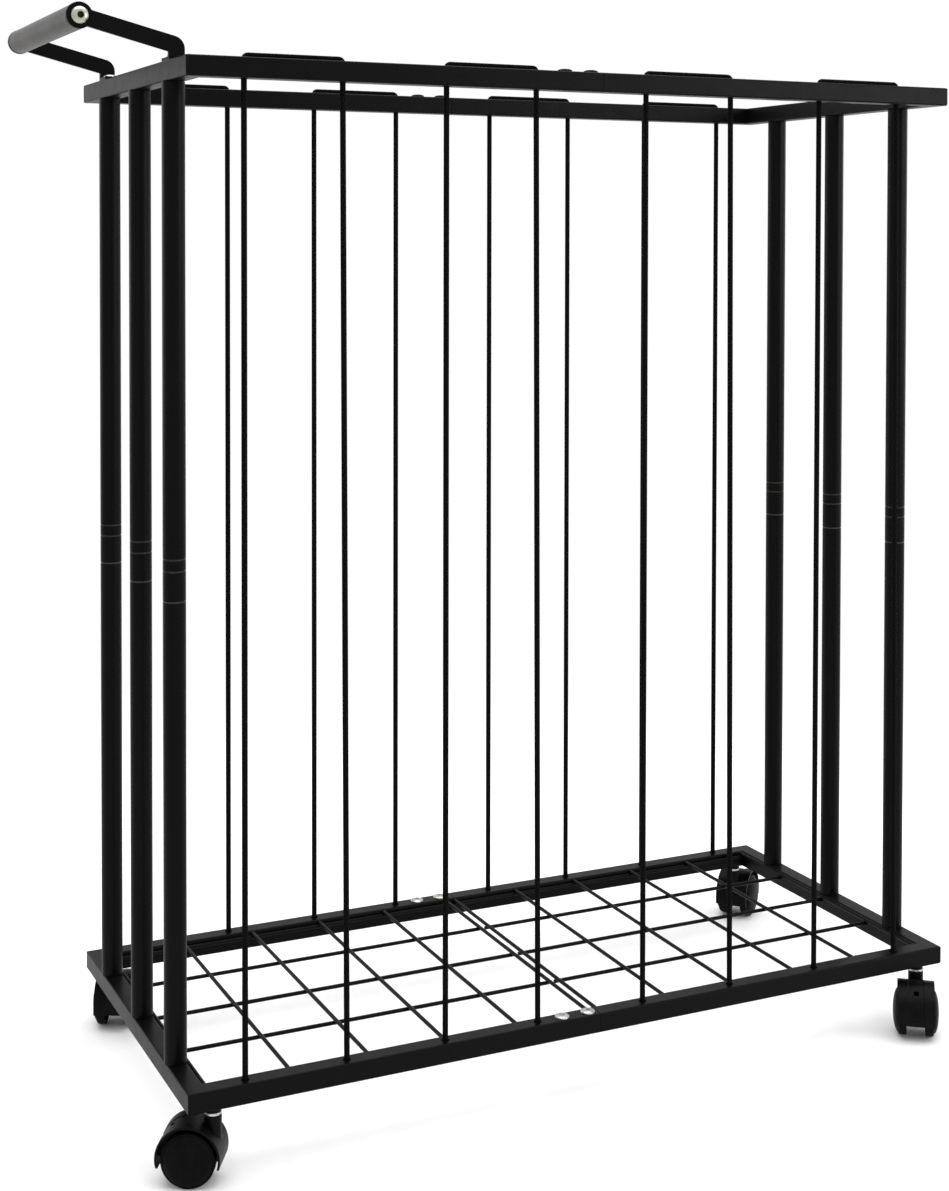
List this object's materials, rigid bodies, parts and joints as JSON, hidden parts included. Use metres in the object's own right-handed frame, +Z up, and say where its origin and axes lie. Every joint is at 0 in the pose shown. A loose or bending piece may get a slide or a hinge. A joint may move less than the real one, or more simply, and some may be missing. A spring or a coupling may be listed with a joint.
{
  "type": "ball cart",
  "caption": "Rolling ball cart: tall black tube frame, wire floor, long sides closed by elastic cords, slanted push handle and twin-wheel swivel casters.",
  "frame": {"origin": "middle of the footprint of the whole cart, with its casters at rest and its handle, on the floor", "axes": "+Z up, +X along the long side away from the handle, +Y from the front long side to the back one"},
  "size_m": [0.9532, 0.4604, 1.058],
  "materials": {
    "black_paint": "satin black powder coat",
    "black_plastic": "fine satin moulding",
    "elastic_cord": "braided sleeve over a rubber core",
    "bright_steel": "zinc plated",
    "satin_grip": "satin"
  },
  "bodies": {
    "frame": {"bottom_frame_left": "black_paint", "bottom_frame_right": "black_paint", "top_frame_left": "black_paint", "top_frame_right": "black_paint", "floor_grid_left": "black_paint", "floor_grid_right": "black_paint", "post_front_left_lower": "black_paint", "post_front_left_upper": "black_paint", "post_middle_left_lower": "black_paint", "post_middle_left_upper": "black_paint", "post_back_left_lower": "black_paint", "post_back_left_upper": "black_paint", "post_front_right_lower": "black_paint", "post_front_right_upper": "black_paint", "post_middle_right_lower": "black_paint", "post_middle_right_upper": "black_paint", "post_back_right_lower": "black_paint", "post_back_right_upper": "black_paint", "cord_front_1": "elastic_cord", "cord_front_2": "elastic_cord", "cord_front_3": "elastic_cord", "cord_front_4": "elastic_cord", "cord_back_1": "elastic_cord", "cord_back_2": "elastic_cord", "cord_back_3": "elastic_cord", "cord_back_4": "elastic_cord", "joint_screw_bottom_front_1": "bright_steel", "joint_screw_bottom_front_2": "bright_steel", "joint_screw_bottom_back_1": "bright_steel", "joint_screw_bottom_back_2": "bright_steel", "joint_screw_top_front_1": "bright_steel", "joint_screw_top_front_2": "bright_steel", "joint_screw_top_back_1": "bright_steel", "joint_screw_top_back_2": "bright_steel", "handle_arm_front": "black_paint", "handle_arm_back": "black_paint", "handle_grip": "satin_grip", "handle_grip_bolt": "bright_steel", "handle_tab_bolt_front": "bright_steel", "handle_tab_bolt_back": "bright_steel", "caster_front_left_stem": "bright_steel", "caster_front_right_stem": "bright_steel", "caster_back_left_stem": "bright_steel", "caster_back_right_stem": "bright_steel"},
    "swivel_front_left": {"caster_front_left_hood": "black_plastic", "caster_front_left_axle": "bright_steel"},
    "swivel_front_right": {"caster_front_right_hood": "black_plastic", "caster_front_right_axle": "bright_steel"},
    "swivel_back_left": {"caster_back_left_hood": "black_plastic", "caster_back_left_axle": "bright_steel"},
    "swivel_back_right": {"caster_back_right_hood": "black_plastic", "caster_back_right_axle": "bright_steel"},
    "wheel_front_left_a": {"caster_front_left_wheel_a": "black_plastic"},
    "wheel_front_left_b": {"caster_front_left_wheel_b": "black_plastic"},
    "wheel_front_right_a": {"caster_front_right_wheel_a": "black_plastic"},
    "wheel_front_right_b": {"caster_front_right_wheel_b": "black_plastic"},
    "wheel_back_left_a": {"caster_back_left_wheel_a": "black_plastic"},
    "wheel_back_left_b": {"caster_back_left_wheel_b": "black_plastic"},
    "wheel_back_right_a": {"caster_back_right_wheel_a": "black_plastic"},
    "wheel_back_right_b": {"caster_back_right_wheel_b": "black_plastic"}
  },
  "joints": [
    {"name": "front_left_swivel", "type": "hinge", "parent": "frame", "child": "swivel_front_left", "pos_m": [-0.35936, -0.17943, 0.05], "axis": [0, 0, 1], "continuous": true},
    {"name": "front_right_swivel", "type": "hinge", "parent": "frame", "child": "swivel_front_right", "pos_m": [0.42664, -0.17943, 0.05], "axis": [0, 0, 1], "continuous": true},
    {"name": "back_left_swivel", "type": "hinge", "parent": "frame", "child": "swivel_back_left", "pos_m": [-0.35936, 0.17757, 0.05], "axis": [0, 0, 1], "continuous": true},
    {"name": "back_right_swivel", "type": "hinge", "parent": "frame", "child": "swivel_back_right", "pos_m": [0.42664, 0.17757, 0.05], "axis": [0, 0, 1], "continuous": true},
    {"name": "front_left_roll_a", "type": "hinge", "parent": "swivel_front_left", "child": "wheel_front_left_a", "pos_m": [-0.37633, -0.16983, 0.025], "axis": [-0.4924, -0.8704, 0], "continuous": true},
    {"name": "front_left_roll_b", "type": "hinge", "parent": "swivel_front_left", "child": "wheel_front_left_b", "pos_m": [-0.37633, -0.16983, 0.025], "axis": [-0.4924, -0.8704, 0], "continuous": true},
    {"name": "front_right_roll_a", "type": "hinge", "parent": "swivel_front_right", "child": "wheel_front_right_a", "pos_m": [0.41485, -0.19497, 0.025], "axis": [0.7965, -0.6046, 0], "continuous": true},
    {"name": "front_right_roll_b", "type": "hinge", "parent": "swivel_front_right", "child": "wheel_front_right_b", "pos_m": [0.41485, -0.19497, 0.025], "axis": [0.7965, -0.6046, 0], "continuous": true},
    {"name": "back_left_roll_a", "type": "hinge", "parent": "swivel_back_left", "child": "wheel_back_left_a", "pos_m": [-0.35094, 0.19515, 0.025], "axis": [-0.9018, 0.4321, 0], "continuous": true},
    {"name": "back_left_roll_b", "type": "hinge", "parent": "swivel_back_left", "child": "wheel_back_left_b", "pos_m": [-0.35094, 0.19515, 0.025], "axis": [-0.9018, 0.4321, 0], "continuous": true},
    {"name": "back_right_roll_a", "type": "hinge", "parent": "swivel_back_right", "child": "wheel_back_right_a", "pos_m": [0.44158, 0.1901, 0.025], "axis": [-0.6428, 0.766, 0], "continuous": true},
    {"name": "back_right_roll_b", "type": "hinge", "parent": "swivel_back_right", "child": "wheel_back_right_b", "pos_m": [0.44158, 0.1901, 0.025], "axis": [-0.6428, 0.766, 0], "continuous": true}
  ]
}
